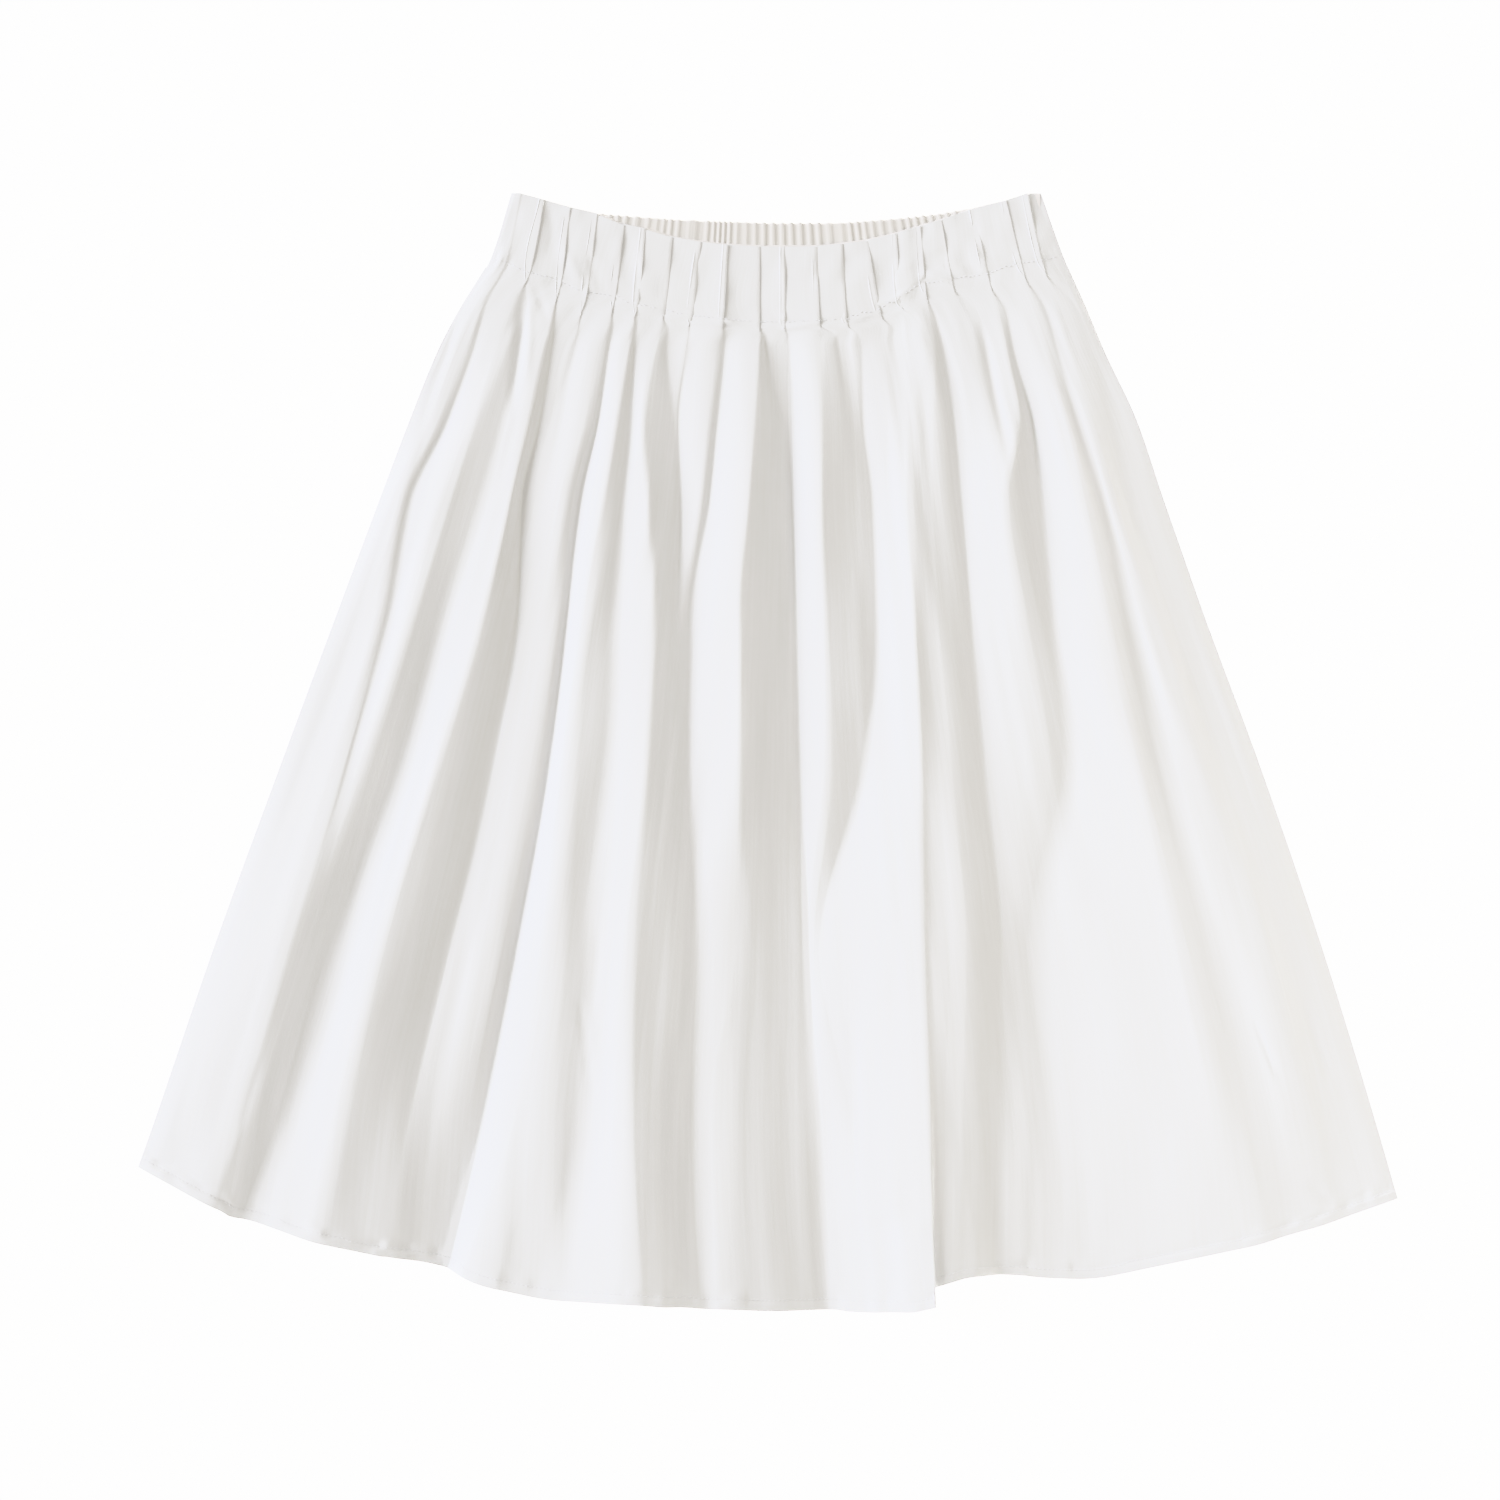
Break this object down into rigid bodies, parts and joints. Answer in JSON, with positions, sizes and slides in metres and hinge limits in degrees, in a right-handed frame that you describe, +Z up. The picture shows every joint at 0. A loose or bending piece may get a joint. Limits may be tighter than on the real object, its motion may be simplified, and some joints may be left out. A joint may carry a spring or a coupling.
{
  "type": "pleated skirt",
  "caption": "Knee-length pleated skirt laid flat: knife-pleated front over a plain back with an elastic waistband.",
  "frame": {"origin": "on the surface the skirt lies on, under the middle of its outline", "axes": "+X across the skirt to the right seam in the picture, +Y from the hem to the waist, +Z up out of the pleated front"},
  "size_m": [0.8406, 0.7452, 0.0157],
  "materials": {
    "front_cloth": "white cotton poplin, pressed pleats, faint sheen",
    "facing_cloth": "white cotton poplin, inner side",
    "band_cloth": "white cotton poplin gathered over elastic, warm grey in its own shade",
    "back_cloth": "white cotton poplin, matt"
  },
  "bodies": {
    "root": {"front_panel": "front_cloth", "front_facing": "facing_cloth", "back_waistband": "band_cloth", "back_panel": "back_cloth"}
  },
  "joints": []
}
